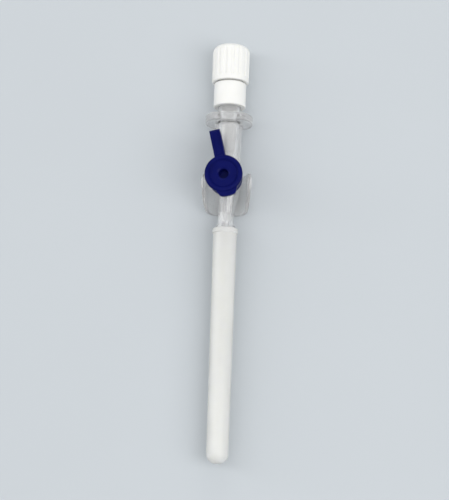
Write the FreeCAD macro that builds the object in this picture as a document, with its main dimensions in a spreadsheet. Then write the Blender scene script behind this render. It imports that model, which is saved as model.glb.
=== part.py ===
import FreeCAD, Part
import math
import os
import re
import Sketcher

# IV cannula, 22 gauge, with wings and an injection port, closed and ready for use.
# X runs across the wings, Y from the needle cover's tip back to the rear plug, and Z up.
# The origin is on the table, straight below the centre of the injection port.

SIZES = [
    # Luer cones and lugs, which every connector here shares
    ("luer_mouth", 4.3, "bore of a female luer at its mouth"),
    ("luer_taper", 0.06, "loss of diameter for each length of cone"),
    ("luer_gap", 0.02, "clearance round a seated cone"),
    ("lug_across", 7.8, "width over the two locking lugs"),
    ("lug_thick", 1.0, "length of a lug along the axis"),
    ("lug_spread", 56, "degrees that each lug covers"),
    ("bond_gap", 0.02, "clearance between pieces glued or pressed together"),
    # Catheter hub
    ("hub_rear", 16.4, "rear face of the hub behind the port"),
    ("barrel_across", 7.3, "diameter of the hub's barrel"),
    ("luer_depth", 8.4, "depth of the hub's female luer"),
    ("lumen_across", 2.8, "flow channel ahead of the valve"),
    ("taper_start", 3.8, "where the barrel begins to narrow, ahead of the port"),
    ("taper_end", 9.0, "where the barrel has become the nose"),
    ("nose_across", 4.4, "diameter of the nose"),
    ("stop_ahead", 12.7, "rear face of the ring that stops the cover"),
    ("stop_across", 5.4, "diameter of that ring"),
    ("stop_thick", 0.7, "length of that ring"),
    ("nose_reach", 18.0, "front end of the nose ahead of the port"),
    ("nose_tip", 2.2, "diameter of the nose at its front end"),
    ("nose_slope", 2.2, "length of the slope down to the nose's front end"),
    ("edge_round", 0.3, "rounding of moulded edges"),
    # Injection port, valve and wings
    ("port_across", 7.0, "diameter of the port"),
    ("port_top", 8.8, "top of the port above the cannula's axis"),
    ("port_bore", 4.2, "bore of the port"),
    ("port_floor", 3.0, "floor of the port's bore above the axis"),
    ("port_hole", 2.2, "hole from the port down to the valve"),
    ("foot_across", 9.4, "diameter of the port's foot"),
    ("foot_top", 3.8, "top of the foot above the axis"),
    ("foot_edge", 0.5, "thickness of the foot's rim"),
    ("bead_across", 7.5, "diameter of the bead that keeps the cap's ring on"),
    ("bead_thick", 0.45, "height of that bead"),
    ("valve_across", 3.7, "outer diameter of the valve sleeve"),
    ("valve_wall", 0.4, "wall of the valve sleeve"),
    ("valve_length", 6.4, "length of the valve sleeve"),
    ("wing_back", 2.6, "rear edge of the wings behind the port"),
    ("wing_length", 11.1, "length of the wings along the hub"),
    ("wing_thick", 0.8, "thickness of the wings"),
    ("wing_flat", 2.0, "half width of the flat underside"),
    ("wing_bend", 3.2, "inner radius of the wings' upward curve"),
    ("wing_angle", 74, "degrees to which the wings curve up"),
    ("wing_rise", 3.4, "length of the straight outer part of a wing"),
    ("wing_corner", 1.4, "radius of the wings' rear corners"),
    ("wing_sweep", 6.6, "radius of the wings' swept front corners"),
    ("saddle_across", 3.2, "width of the web between barrel and wings"),
    ("rib_tall", 0.35, "height of the finger ribs on the wings"),
    ("rib_thick", 0.6, "width of a finger rib"),
    ("rib_pitch", 1.7, "distance from one finger rib to the next"),
    # Port cap with its ring and strap
    ("cap_turn", 13.5, "degrees by which the strap lies off the cannula's axis"),
    ("cap_gap", 0.3, "clearance between cap and port, all round"),
    ("cap_wall", 1.1, "wall of the cap's skirt"),
    ("cap_rim", 0.35, "how far the cap's rim stands out from its skirt"),
    ("skirt_low", 5.5, "lower edge of the cap's skirt above the axis"),
    ("cap_plate", 1.3, "height of the cap's rim over the port's top"),
    ("cap_draft", 0.15, "narrowing of the skirt towards its lower edge"),
    ("dish_deep", 0.5, "depth of the dished top below its rim"),
    ("dimple_across", 2.8, "diameter of the dimple in the cap's middle"),
    ("dimple_deep", 2.9, "depth of the dimple below the rim"),
    ("dimple_slope", 0.5, "width of the slope round the dimple"),
    ("stopper_wall", 0.5, "wall of the hollow stopper that the dimple makes"),
    ("stopper_deep", 2.7, "reach of the stopper into the port"),
    ("tab_reach", 0.9, "how far the lifting tab stands out from the rim"),
    ("tab_width", 6.4, "width of the lifting tab"),
    ("tab_thick", 0.8, "thickness of the lifting tab"),
    ("strap_width", 2.9, "width of the strap"),
    ("strap_thick", 0.9, "thickness of the strap"),
    ("strap_edge", 0.45, "width of the raised edges along the strap"),
    ("strap_lip", 0.25, "height of those edges"),
    ("strap_bend", 1.3, "outer radius of the strap's bends"),
    ("strap_drop", 0.5, "strap's top below the cap's rim"),
    ("strap_reach", 13.05, "outer end of the strap, and its hinge line, from the port's axis"),
    ("film_thick", 0.36, "thickness of the film hinge at the strap's outer face"),
    ("film_length", 1.2, "height of the notch that leaves the film"),
    ("film_slope", 0.25, "slope at each end of the notch"),
    ("film_gap", 0.05, "gap at the hinge line"),
    ("ring_width", 1.15, "radial width of the cap's ring"),
    ("ring_thick", 0.95, "thickness of the cap's ring"),
    ("ring_gap", 0.08, "clearance round and under the ring"),
    # Catheter and its ferrule
    ("tube_across", 0.9, "outer diameter of the catheter"),
    ("tube_wall", 0.11, "wall of the catheter"),
    ("tube_show", 25, "length of catheter ahead of the hub"),
    ("tube_tip", 1.6, "length of the catheter's tapered tip"),
    ("tube_edge", 0.04, "wall left at the catheter's tip"),
    ("flare_slope", 0.7, "length over which the catheter flares"),
    ("wedge_back", 6.6, "rear end of the ferrule behind the nose's front end"),
    ("wedge_mouth", 2.2, "outer diameter of the ferrule's mouth"),
    ("wedge_cone", 2.3, "length of the ferrule's funnel"),
    ("wedge_stem", 1.0, "outer diameter of the ferrule's stem"),
    ("stem_length", 2.0, "length of the ferrule's stem"),
    ("wedge_wall", 0.14, "wall of the ferrule"),
    # Needle
    ("needle_across", 0.6, "outer diameter of the needle"),
    ("needle_bore", 0.36, "bore of the needle"),
    ("needle_show", 2.5, "length of needle ahead of the catheter"),
    ("bevel_angle", 17, "degrees of the needle's bevel"),
    ("lancet_angle", 25, "degrees of the two side grinds at the needle's point"),
    ("lancet_turn", 35, "degrees by which each side grind is turned round the needle"),
    ("needle_end", 0.8, "needle standing out into the flash chamber"),
    # Needle hub, moulded in one with its grip flange and flash chamber
    ("luer_reach", 7.6, "length of a male luer inside its mate"),
    ("needle_hold", 3.0, "length of the bore that holds the needle"),
    ("flash_across", 2.4, "narrow part of the flash chamber"),
    ("face_gap", 0.3, "gap between the hub and the grip flange"),
    ("flange_thick", 2.3, "thickness of the grip flange"),
    ("flange_across", 13.3, "width of the grip flange"),
    ("flange_low", 4.7, "lower flat of the flange below the axis"),
    ("flange_high", 5.6, "upper flat of the flange above the axis"),
    ("chamber_across", 6.4, "outer diameter of the flash chamber"),
    ("chamber_bore", 4.8, "bore of the flash chamber"),
    ("chamber_show", 2.7, "length of the flash chamber left uncovered"),
    # Vent fitting and its filter
    ("fitting_across", 9.0, "diameter of the vent fitting's body"),
    ("fitting_show", 6.9, "length of that body"),
    ("socket_deep", 4.8, "depth of the socket over the flash chamber"),
    ("filter_across", 5.6, "diameter of the filter"),
    ("filter_thick", 0.5, "thickness of the filter"),
    ("vent_across", 1.8, "diameter of the vent passage"),
    ("neck_across", 6.6, "diameter of the fitting's rear neck"),
    ("neck_length", 8.6, "length of that neck"),
    ("neck_luer", 7.9, "depth of the fitting's female luer"),
    # Luer plug
    ("grip_across", 10.4, "diameter of the plug, which rests on the table"),
    ("plug_length", 10.8, "length of the plug"),
    ("plug_gap", 0.12, "clearance between the plug's skirt and the lugs"),
    ("plug_wall", 1.1, "thickness of the plug's end"),
    ("plug_round", 2.1, "rounding of the plug's rear edge"),
    ("plug_bore", 2.0, "hollow of the plug's male luer"),
    ("flute_count", 16, "number of grip flutes"),
    ("flute_across", 1.3, "diameter of a flute"),
    ("flute_deep", 0.3, "depth of a flute"),
    ("flute_margin", 1.3, "plain band at the front of the flutes"),
    # Needle cover
    ("cover_reach", 78.4, "tip of the cover ahead of the port"),
    ("cover_mouth", 6.6, "outer diameter at the cover's mouth"),
    ("cover_end", 6.0, "outer diameter near the cover's tip"),
    ("cover_wall", 0.85, "wall of the cover"),
    ("cover_gap", 0.05, "clearance between the cover and the nose"),
    ("cover_seat", 3.2, "length of the wider bore over the nose"),
    ("grip_ribs", 6, "number of ribs inside the cover that grip the nose"),
    ("grip_tall", 0.2, "height of those ribs"),
    ("grip_wide", 0.6, "width of those ribs"),
    ("cover_lip", 1.2, "length of the band at the cover's mouth"),
    ("lip_proud", 0.25, "height of that band"),
    ("cover_round", 2.6, "rounding of the cover's tip"),
]

doc = FreeCAD.newDocument("iv_cannula")
sheet = doc.addObject("Spreadsheet::Sheet", "sizes")
for row, (alias, size, meaning) in enumerate(SIZES, start=1):
    sheet.set("A%d" % row, meaning)
    sheet.set("B%d" % row, str(size))
    sheet.setAlias("B%d" % row, alias)
doc.recompute()

# Places that several pieces share, as formulas of the sizes. Forward of the port is -Y.
AXIS_HEIGHT = "grip_across / 2"
NOSE_FRONT = "-nose_reach"
TUBE_FRONT = "-(nose_reach + tube_show)"
WEDGE_REAR = "-(nose_reach - wedge_back)"
STEM_REAR = "-(nose_reach - wedge_back + wedge_cone)"
STEM_FRONT = "-(nose_reach - wedge_back + wedge_cone + stem_length)"
FLARE_END = "-(nose_reach - wedge_back + wedge_cone + stem_length + flare_slope)"
COVER_REAR = "-(stop_ahead + stop_thick + bond_gap)"
FLANGE_FRONT = "hub_rear + face_gap"
FLANGE_REAR = "hub_rear + face_gap + flange_thick"
CHAMBER_END = "hub_rear + face_gap + flange_thick + chamber_show"
FITTING_REAR = "hub_rear + face_gap + flange_thick + chamber_show + fitting_show"
NECK_REAR = "hub_rear + face_gap + flange_thick + chamber_show + fitting_show + neck_length"
PLUG_REAR = "hub_rear + face_gap + flange_thick + chamber_show + fitting_show + face_gap + plug_length"
CAP_TOP = "port_top + cap_plate"
SKIRT_INSIDE = "port_across / 2 + cap_gap"
SKIRT_OUTSIDE = "port_across / 2 + cap_gap + cap_wall"
RING_LOW = "foot_top + ring_gap"
RING_HIGH = "foot_top + ring_gap + ring_thick"
HINGE_HEIGHT = "(skirt_low + port_top) / 2"


def formula(text):
    """Give each size named in a formula the prefix that an expression needs."""
    return re.sub(r"[a-z]+_[a-z]+", lambda word: "sizes." + word.group(), text)


def value(text):
    """The present number of a formula."""
    return float(sheet.evalExpression(formula(text)))


def new_body(label, height=AXIS_HEIGHT):
    """A body named for its piece, with its origin at a height above the table."""
    body = doc.addObject("PartDesign::Body", label)
    body.Label = label
    body.setExpression("Placement.Base.z", formula(height))
    return body


def new_sketch(body, name, role, offset="0"):
    """A sketch on one of the body's own planes, moved along the plane's normal."""
    sketch = body.newObject("Sketcher::SketchObject", name)
    plane = [feature for feature in body.Origin.OriginFeatures if feature.Role == role][0]
    sketch.AttachmentSupport = [(plane, "")]
    sketch.MapMode = "FlatFace"
    sketch.setExpression("AttachmentOffset.Base.z", formula(offset))
    return sketch


def arc_edge(start, end, radius, turn):
    """A short arc from start to end that turns left (1) or right (-1) on its way."""
    chord = end - start
    rise = math.sqrt(max(radius ** 2 - chord.Length ** 2 / 4, 0))
    left = FreeCAD.Vector(-chord.y, chord.x, 0).normalize()
    centre = (start + end) / 2 + left * rise * turn
    circle = Part.Circle(centre, FreeCAD.Vector(0, 0, 1), radius)
    first, last = (start, end) if turn > 0 else (end, start)
    return Part.ArcOfCircle(circle, circle.parameter(first), circle.parameter(last))


def pin(sketch, kind, edge, point, text):
    """Hold one coordinate of a sketch point at a formula."""
    if text == "0":
        line = -2 if kind == "DistanceX" else -1
        sketch.addConstraint(Sketcher.Constraint("PointOnObject", edge, point, line))
        return
    index = sketch.addConstraint(Sketcher.Constraint(kind, -1, 1, edge, point, value(text)))
    sketch.setExpression("Constraints[%d]" % index, formula(text))


def outline(sketch, corners):
    """Close a profile through the corners, each (across, along) or (across, along, radius, turn).

    A corner with a radius starts an arc to the next corner. The others start a straight line.
    """
    places = [FreeCAD.Vector(value(corner[0]), value(corner[1]), 0) for corner in corners]
    first = sketch.GeometryCount
    starts = []
    for number, corner in enumerate(corners):
        start = places[number]
        end = places[(number + 1) % len(corners)]
        if len(corner) == 4:
            sketch.addGeometry(arc_edge(start, end, value(corner[2]), corner[3]), False)
            starts.append(1 if corner[3] > 0 else 2)
        else:
            sketch.addGeometry(Part.LineSegment(start, end), False)
            starts.append(1)
    for number, corner in enumerate(corners):
        edge = first + number
        following = (number + 1) % len(corners)
        pin(sketch, "DistanceX", edge, starts[number], corner[0])
        pin(sketch, "DistanceY", edge, starts[number], corner[1])
        sketch.addConstraint(Sketcher.Constraint(
            "Coincident", edge, 3 - starts[number], first + following, starts[following]))
        if len(corner) == 4:
            index = sketch.addConstraint(Sketcher.Constraint("Radius", edge, value(corner[2])))
            sketch.setExpression("Constraints[%d]" % index, formula(corner[2]))


def ring(sketch, across, centre=("0", "0")):
    """A circle of a given diameter."""
    place = FreeCAD.Vector(value(centre[0]), value(centre[1]), 0)
    edge = sketch.addGeometry(Part.Circle(place, FreeCAD.Vector(0, 0, 1), value(across) / 2), False)
    pin(sketch, "DistanceX", edge, 3, centre[0])
    pin(sketch, "DistanceY", edge, 3, centre[1])
    index = sketch.addConstraint(Sketcher.Constraint("Diameter", edge, value(across)))
    sketch.setExpression("Constraints[%d]" % index, formula(across))


def finish_feature(body, feature, sketch=None, cuts=False):
    """Bring a new feature up to date, and make sure that a cut has cut something."""
    before = body.Shape.Volume if cuts else 0
    if sketch:
        sketch.Visibility = False
    doc.recompute()
    if cuts and body.Shape.Volume > before - 1e-4:
        raise RuntimeError(feature.Name + " cuts nothing")
    return feature


def turned(body, name, corners, role="XY_Plane", cuts=False):
    """Turn a profile once round the body's own Y axis, or round Z from the XZ plane."""
    sketch = new_sketch(body, name + "_profile", role)
    outline(sketch, corners)
    feature = body.newObject("PartDesign::Groove" if cuts else "PartDesign::Revolution", name)
    feature.Profile = sketch
    feature.ReferenceAxis = (sketch, ["V_Axis"])
    feature.Angle = 360
    return finish_feature(body, feature, sketch, cuts)


def padded(body, name, sketch, length, both_ways=False):
    """Add the sketch's area over a length along the plane's normal."""
    feature = body.newObject("PartDesign::Pad", name)
    feature.Profile = sketch
    feature.setExpression("Length", formula(length))
    feature.Midplane = both_ways
    return finish_feature(body, feature, sketch)


def pocketed(body, name, sketch, length, both_ways=False, backwards=False):
    """Cut the sketch's area away over a length."""
    feature = body.newObject("PartDesign::Pocket", name)
    feature.Profile = sketch
    feature.setExpression("Length", formula(length))
    feature.Midplane = both_ways
    feature.Reversed = backwards
    return finish_feature(body, feature, sketch, cuts=True)


def rounded(body, name, wanted, radius):
    """Round the edges of the body's last feature that a test picks out."""
    base = body.Tip
    names = ["Edge%d" % (number + 1) for number, edge in enumerate(base.Shape.Edges) if wanted(edge)]
    if not names:
        raise RuntimeError(name + " finds no edge")
    feature = body.newObject("PartDesign::Fillet", name)
    feature.Base = (base, names)
    feature.setExpression("Radius", formula(radius))
    return finish_feature(body, feature)


def circle_at(radius, along, axis="y"):
    """A test for full round edges of one radius at one place along an axis."""
    def wanted(edge):
        curve = edge.Curve
        if not isinstance(curve, Part.Circle):
            return False
        return (abs(curve.Radius - value(radius)) < 0.005
                and abs(getattr(curve.Center, axis) - value(along)) < 0.005)
    return wanted


def make_lugs(body, rear):
    """Two locking lugs on opposite sides of a female luer's rear end."""
    sketch = new_sketch(body, "lug_profile", "XY_Plane")
    inner = "luer_mouth / 2 + bond_gap"
    outline(sketch, [
        (inner, rear),
        (inner, "%s - lug_thick" % rear),
        ("lug_across / 2", "%s - lug_thick" % rear),
        ("lug_across / 2", rear)])
    lug = body.newObject("PartDesign::Revolution", "lug")
    lug.Profile = sketch
    lug.ReferenceAxis = (sketch, ["V_Axis"])
    lug.Midplane = True
    lug.setExpression("Angle", formula("lug_spread"))
    finish_feature(body, lug, sketch)
    pair = body.newObject("PartDesign::PolarPattern", "lug_pair")
    pair.Originals = [lug]
    pair.Axis = (sketch, ["V_Axis"])
    pair.Angle = 360
    pair.Occurrences = 2
    body.Tip = pair
    return finish_feature(body, pair)


def wing_side(side):
    """Corners of one wing's section, from the underside out to the tip and back to the web."""
    low = "-(%s)" % AXIS_HEIGHT
    outer = "(wing_bend + wing_thick)"
    curve_end = (
        "%s(wing_flat + %s * sin(wing_angle))" % (side, outer),
        "%s + %s * (1 - cos(wing_angle))" % (low, outer))
    tip_out = (
        "%s(wing_flat + %s * sin(wing_angle) + wing_rise * cos(wing_angle))" % (side, outer),
        "%s + %s * (1 - cos(wing_angle)) + wing_rise * sin(wing_angle)" % (low, outer))
    tip_in = (
        "%s(wing_flat + wing_bend * sin(wing_angle) + wing_rise * cos(wing_angle))" % side,
        "%s + %s - wing_bend * cos(wing_angle) + wing_rise * sin(wing_angle)" % (low, outer))
    curve_start = (
        "%s(wing_flat + wing_bend * sin(wing_angle))" % side,
        "%s + %s - wing_bend * cos(wing_angle)" % (low, outer))
    return {
        "under": ("%swing_flat" % side, low),
        "curve_end": curve_end,
        "tip_out": tip_out,
        "tip_in": tip_in,
        "curve_start": curve_start,
        "upper": ("%swing_flat" % side, "%s + wing_thick" % low),
        "web_low": ("%ssaddle_across / 2" % side, "%s + wing_thick" % low),
        "web_high": ("%ssaddle_across / 2" % side, "-barrel_across / 7")}


def make_wings(body):
    """Both wings and the web that carries the barrel, as one curved section run along the hub."""
    right = wing_side("")
    left = wing_side("-")
    outer = "wing_bend + wing_thick"
    sketch = new_sketch(body, "wing_section", "XZ_Plane", "-wing_back")
    outline(sketch, [
        right["under"] + (outer, 1), right["curve_end"], right["tip_out"], right["tip_in"],
        right["curve_start"] + ("wing_bend", -1), right["upper"], right["web_low"], right["web_high"],
        left["web_high"], left["web_low"], left["upper"] + ("wing_bend", -1),
        left["curve_start"], left["tip_in"], left["tip_out"],
        left["curve_end"] + (outer, 1), left["under"]])
    padded(body, "wings", sketch, "wing_length")

    def at_rear_corner(edge):
        middle = edge.CenterOfMass
        out = value("wing_flat + wing_bend * sin(wing_angle)")
        at_rear = abs(middle.y - value("wing_back")) < 1e-4
        return at_rear and abs(middle.x) > out and abs(edge.Length - value("wing_thick")) < 1e-4
    rounded(body, "wing_corners", at_rear_corner, "wing_corner")


def sweep_wings(body):
    """Cut each wing's front corner back in a wide sweep, clear of the barrel."""
    front = "-(wing_length - wing_back)"
    top = "-(%s) + wing_bend + wing_thick - wing_bend * cos(wing_angle) + wing_rise * sin(wing_angle)" % (
        AXIS_HEIGHT)
    for side, word in (("", "right"), ("-", "left")):
        sketch = new_sketch(body, "sweep_" + word, "YZ_Plane", "%s(barrel_across / 2 + edge_round)" % side)
        outline(sketch, [
            (front, "%s - wing_sweep" % top, "wing_sweep", -1),
            ("%s + wing_sweep" % front, top),
            ("%s + wing_sweep" % front, "%s + wing_thick" % top),
            ("%s - wing_thick" % front, "%s + wing_thick" % top),
            ("%s - wing_thick" % front, "%s - wing_sweep" % top)])
        pocketed(body, "swept_" + word, sketch, "wing_flat + wing_bend + wing_thick + wing_rise",
                 backwards=side == "")


def make_wing_ribs(body):
    """Raised finger ribs on the outer face of each wing, along the hub."""
    for side, word in (("", "right"), ("-", "left")):
        outer = "(wing_bend + wing_thick)"
        low = "-(%s)" % AXIS_HEIGHT
        sketch = new_sketch(body, "rib_section_" + word, "XZ_Plane", "-(wing_back - wing_corner)")
        for step in range(2):
            along = "(wing_rise - rib_thick - %d * rib_pitch)" % step
            corners = []
            for slide, lift in (("0", "-rib_tall"), ("rib_thick", "-rib_tall"),
                                ("rib_thick", "wing_thick / 2"), ("0", "wing_thick / 2")):
                run = "(%s + %s)" % (along, slide)
                corners.append((
                    "%s(wing_flat + %s * sin(wing_angle) + %s * cos(wing_angle) - (%s) * sin(wing_angle))"
                    % (side, outer, run, lift),
                    "%s + %s * (1 - cos(wing_angle)) + %s * sin(wing_angle) + (%s) * cos(wing_angle)"
                    % (low, outer, run, lift)))
            outline(sketch, corners)
        padded(body, "ribs_" + word, sketch, "wing_length - wing_corner - wing_sweep")


def make_catheter_hub():
    """Clear hub in one moulding: rear female luer, port, wings, and the nose that holds the catheter."""
    body = new_body("catheter_hub")
    turned(body, "barrel", [
        ("0", "hub_rear"),
        ("barrel_across / 2", "hub_rear"),
        ("barrel_across / 2", "-taper_start"),
        ("nose_across / 2", "-taper_end"),
        ("nose_across / 2", "-stop_ahead"),
        ("stop_across / 2", "-stop_ahead"),
        ("stop_across / 2", "-(stop_ahead + stop_thick)"),
        ("nose_across / 2", "-(stop_ahead + stop_thick)"),
        ("nose_across / 2", "-(nose_reach - nose_slope)"),
        ("nose_tip / 2", NOSE_FRONT),
        ("0", NOSE_FRONT)])
    make_lugs(body, "hub_rear")
    turned(body, "port", [
        ("0", "0"),
        ("port_across / 2", "0"),
        ("port_across / 2", "foot_top - foot_edge - (foot_across - port_across) / 2"),
        ("foot_across / 2", "foot_top - foot_edge"),
        ("foot_across / 2", "foot_top"),
        ("port_across / 2", "foot_top"),
        ("port_across / 2", "%s + ring_gap" % RING_HIGH),
        ("bead_across / 2", "%s + ring_gap + (bead_across - port_across) / 2" % RING_HIGH),
        ("port_across / 2", "%s + ring_gap + bead_thick" % RING_HIGH),
        ("port_across / 2", "port_top"),
        ("0", "port_top")], role="XZ_Plane")
    rounded(body, "port_edge", circle_at("port_across / 2", "port_top", "z"), "edge_round")
    make_wings(body)
    sweep_wings(body)
    make_wing_ribs(body)
    flare_bore = "wedge_stem / 2 + bond_gap + tube_wall + bond_gap"
    tube_bore = "tube_across / 2 + bond_gap"
    turned(body, "flow_channel", [
        ("0", "hub_rear + 1"),
        ("luer_mouth / 2 + luer_taper / 2", "hub_rear + 1"),
        ("luer_mouth / 2 - luer_taper / 2 * luer_depth", "hub_rear - luer_depth"),
        ("valve_across / 2 + bond_gap", "hub_rear - luer_depth"),
        ("valve_across / 2 + bond_gap", "-valve_length / 2 - bond_gap"),
        ("lumen_across / 2", "-valve_length / 2 - bond_gap"),
        ("wedge_mouth / 2 + bond_gap", WEDGE_REAR),
        (flare_bore, STEM_REAR),
        (flare_bore, STEM_FRONT),
        (tube_bore, FLARE_END),
        (tube_bore, "%s - 1" % NOSE_FRONT),
        ("0", "%s - 1" % NOSE_FRONT)], cuts=True)
    turned(body, "port_bore_cut", [
        ("0", "0"),
        ("port_hole / 2", "0"),
        ("port_hole / 2", "port_floor"),
        ("port_bore / 2 - luer_taper / 2 * (port_top - port_floor)", "port_floor"),
        ("port_bore / 2 + luer_taper / 2", "port_top + 1"),
        ("0", "port_top + 1")], role="XZ_Plane", cuts=True)
    return body


def make_port_valve():
    """Soft sleeve inside the barrel that closes the port's hole from below."""
    body = new_body("port_valve")
    turned(body, "sleeve", [
        ("valve_across / 2 - valve_wall", "valve_length / 2"),
        ("valve_across / 2", "valve_length / 2"),
        ("valve_across / 2", "-valve_length / 2"),
        ("valve_across / 2 - valve_wall", "-valve_length / 2")])
    return body


def make_catheter_tube():
    """Catheter with a tapered tip, flared at its rear over the ferrule's stem."""
    body = new_body("catheter_tube")
    bore = "tube_across / 2 - tube_wall"
    flare = "wedge_stem / 2 + bond_gap"
    turned(body, "wall", [
        (bore, TUBE_FRONT),
        ("%s + tube_edge" % bore, TUBE_FRONT),
        ("tube_across / 2", "%s + tube_tip" % TUBE_FRONT),
        ("tube_across / 2", FLARE_END),
        ("%s + tube_wall" % flare, STEM_FRONT),
        ("%s + tube_wall" % flare, "%s - bond_gap" % STEM_REAR),
        (flare, "%s - bond_gap" % STEM_REAR),
        (flare, STEM_FRONT),
        (bore, FLARE_END)])
    return body


def make_catheter_wedge():
    """Steel ferrule, a thin funnel whose stem wedges the catheter into the nose."""
    body = new_body("catheter_wedge")
    turned(body, "funnel", [
        ("wedge_mouth / 2 - wedge_wall", WEDGE_REAR),
        ("wedge_mouth / 2", WEDGE_REAR),
        ("wedge_stem / 2", STEM_REAR),
        ("wedge_stem / 2", "%s + bond_gap" % STEM_FRONT),
        ("wedge_stem / 2 - wedge_wall", "%s + bond_gap" % STEM_FRONT),
        ("wedge_stem / 2 - wedge_wall", STEM_REAR)])
    return body


def strap_lips(body, name, low, high):
    """Raised edges along the top of the strap, as two narrow bars up to the bend."""
    sketch = new_sketch(body, name + "_plan", "XY_Plane", low)
    for side in ("", "-"):
        inner = "%s(strap_width / 2 - strap_edge)" % side
        outer = "%sstrap_width / 2" % side
        outline(sketch, [
            (inner, "%s - cap_wall / 2" % SKIRT_OUTSIDE),
            (outer, "%s - cap_wall / 2" % SKIRT_OUTSIDE),
            (outer, "strap_reach - strap_bend"),
            (inner, "strap_reach - strap_bend")])
    padded(body, name, sketch, "%s - (%s)" % (high, low))


def make_port_cap():
    """Blue lid with its dished top, hollow stopper, lifting tab and the upper half of its strap."""
    body = new_body("port_cap")
    body.Placement.Rotation = FreeCAD.Rotation(FreeCAD.Vector(0, 0, 1), value("cap_turn"))
    body.setExpression("Placement.Rotation.Angle", formula("cap_turn"))
    rim = "%s + cap_rim" % SKIRT_OUTSIDE
    stopper = "dimple_across / 2 + stopper_wall"
    plate_low = "port_top + cap_gap / 2"
    turned(body, "lid", [
        ("0", "%s - dimple_deep" % CAP_TOP),
        ("dimple_across / 2 - cap_draft", "%s - dimple_deep" % CAP_TOP),
        ("dimple_across / 2", "%s - dish_deep - dimple_slope / 2" % CAP_TOP),
        ("dimple_across / 2 + dimple_slope", "%s - dish_deep" % CAP_TOP),
        ("%s - cap_wall - dish_deep" % rim, "%s - dish_deep" % CAP_TOP),
        ("%s - cap_wall" % rim, CAP_TOP),
        (rim, CAP_TOP),
        (rim, plate_low),
        (SKIRT_OUTSIDE, plate_low),
        ("%s - cap_draft" % SKIRT_OUTSIDE, "skirt_low"),
        (SKIRT_INSIDE, "skirt_low"),
        (SKIRT_INSIDE, plate_low),
        (stopper, plate_low),
        ("%s - cap_draft" % stopper, "port_top - stopper_deep"),
        ("0", "port_top - stopper_deep")], role="XZ_Plane")
    rounded(body, "rim_edge", circle_at(rim, CAP_TOP, "z"), "edge_round * 2")
    tab = new_sketch(body, "tab_plan", "XY_Plane", plate_low)
    outline(tab, [
        ("-tab_width / 2", "-(%s - cap_wall - dish_deep / 2)" % rim),
        ("-tab_width / 3", "-(%s + tab_reach)" % rim, "tab_width", 1),
        ("tab_width / 3", "-(%s + tab_reach)" % rim),
        ("tab_width / 2", "-(%s - cap_wall - dish_deep / 2)" % rim)])
    padded(body, "tab", tab, "tab_thick")

    def at_tab_end(edge):
        middle = edge.CenterOfMass
        upright = abs(edge.Length - value("tab_thick")) < 1e-4
        return upright and abs(middle.y + value("%s + tab_reach" % rim)) < 1e-4
    rounded(body, "tab_corners", at_tab_end, "edge_round * 2")
    strap_high = "%s - strap_drop" % CAP_TOP
    strap_low = "%s - strap_drop - strap_thick" % CAP_TOP
    front = "strap_reach - strap_thick"
    inner_bend = "(strap_bend - strap_thick)"
    film_low = "%s + film_gap / 2" % HINGE_HEIGHT
    film_high = "%s + film_length / 2" % HINGE_HEIGHT
    strap = new_sketch(body, "strap_side", "YZ_Plane")
    outline(strap, [
        ("%s - cap_wall / 2" % SKIRT_OUTSIDE, strap_low),
        ("%s - %s" % (front, inner_bend), strap_low, inner_bend, -1),
        (front, "%s - %s" % (strap_low, inner_bend)),
        (front, "%s + film_slope" % film_high),
        ("strap_reach - film_thick", film_high),
        ("strap_reach - film_thick", film_low),
        ("strap_reach", film_low),
        ("strap_reach", "%s - strap_bend" % strap_high, "strap_bend", 1),
        ("strap_reach - strap_bend", strap_high),
        ("%s - cap_wall / 2" % SKIRT_OUTSIDE, strap_high)])
    padded(body, "strap", strap, "strap_width", both_ways=True)
    strap_lips(body, "lips", strap_high, "%s + strap_lip" % strap_high)
    return body


def make_port_cap_ring():
    """Ring that turns round the foot of the port, with the lower half of the strap."""
    body = new_body("port_cap_ring")
    body.Placement.Rotation = FreeCAD.Rotation(FreeCAD.Vector(0, 0, 1), value("cap_turn"))
    body.setExpression("Placement.Rotation.Angle", formula("cap_turn"))
    inner = "port_across / 2 + ring_gap"
    turned(body, "collar", [
        (inner, RING_LOW),
        ("%s + ring_width" % inner, RING_LOW),
        ("%s + ring_width" % inner, RING_HIGH),
        (inner, RING_HIGH)], role="XZ_Plane")
    front = "strap_reach - strap_thick"
    inner_bend = "(strap_bend - strap_thick)"
    film_low = "%s - film_length / 2" % HINGE_HEIGHT
    film_high = "%s - film_gap / 2" % HINGE_HEIGHT
    strap = new_sketch(body, "strap_side", "YZ_Plane")
    outline(strap, [
        ("%s + ring_width / 2" % inner, RING_LOW),
        ("strap_reach - strap_bend", RING_LOW, "strap_bend", 1),
        ("strap_reach", "%s + strap_bend" % RING_LOW),
        ("strap_reach", film_high),
        ("strap_reach - film_thick", film_high),
        ("strap_reach - film_thick", film_low),
        (front, "%s - film_slope" % film_low),
        (front, "%s + strap_thick + %s" % (RING_LOW, inner_bend), inner_bend, -1),
        ("%s - %s" % (front, inner_bend), "%s + strap_thick" % RING_LOW),
        ("%s + ring_width / 2" % inner, "%s + strap_thick" % RING_LOW)])
    padded(body, "strap", strap, "strap_width", both_ways=True)
    return body


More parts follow.
